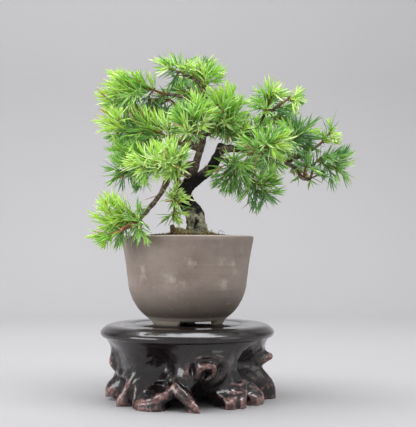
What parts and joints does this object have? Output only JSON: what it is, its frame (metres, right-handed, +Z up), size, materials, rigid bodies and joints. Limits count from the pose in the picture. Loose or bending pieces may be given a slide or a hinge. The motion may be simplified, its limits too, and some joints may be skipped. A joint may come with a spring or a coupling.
{
  "type": "needle juniper bonsai",
  "caption": "Small trained needle juniper with a leaning trunk, in a round footed clay pot on a carved root-shaped wooden display stand.",
  "frame": {"origin": "centre of the bounding box at the table, under the stand's feet", "axes": "+Z up along the pot's axis, -Y towards the viewer of the tree's front, +X to that viewer's right"},
  "size_m": [0.1796, 0.119, 0.2358],
  "materials": {
    "bark": "rough plated bark",
    "needles": "satin needles",
    "clay": "unglazed, matt",
    "soil": "granular",
    "lacquered_wood": "dark gloss lacquer"
  },
  "bodies": {
    "root": {"apex_bough": "bark", "back_centre_bough": "bark", "back_left_bough": "bark", "back_right_bough": "bark", "back_right_low_bough": "bark", "back_top_bough": "bark", "centre_bough": "bark", "front_left_bough": "bark", "left_bough": "bark", "left_lower_bough": "bark", "low_left_lower_bough": "bark", "low_left_upper_bough": "bark", "mass_apex": "needles", "mass_apex_right": "needles", "mass_back_centre": "needles", "mass_back_left": "needles", "mass_back_right": "needles", "mass_back_right_low": "needles", "mass_back_top": "needles", "mass_centre": "needles", "mass_far_right": "needles", "mass_far_right_inner": "needles", "mass_far_right_top": "needles", "mass_front_left": "needles", "mass_left": "needles", "mass_left_lower": "needles", "mass_low_left": "needles", "mass_right_back": "needles", "mass_right_centre": "needles", "mass_right_front": "needles", "mass_right_hang": "needles", "mass_right_mid": "needles", "mass_right_tip": "needles", "mass_right_top": "needles", "mass_right_under": "needles", "mass_shoulder": "needles", "mass_trunk_shoot": "needles", "mass_upper_left": "needles", "mass_upper_under": "needles", "pot": "clay", "right_back_bough": "bark", "right_bough": "bark", "right_centre_bough": "bark", "right_front_bough": "bark", "right_hang_bough": "bark", "right_lower_bough": "bark", "right_mid_bough": "bark", "right_outer_bough": "bark", "right_tip_bough": "bark", "right_top_bough": "bark", "right_under_bough": "bark", "right_upper_bough": "bark", "shoulder_bough": "bark", "soil": "soil", "stand": "lacquered_wood", "trunk": "bark", "upper_left_bough": "bark", "upper_under_bough": "bark"}
  },
  "joints": []
}
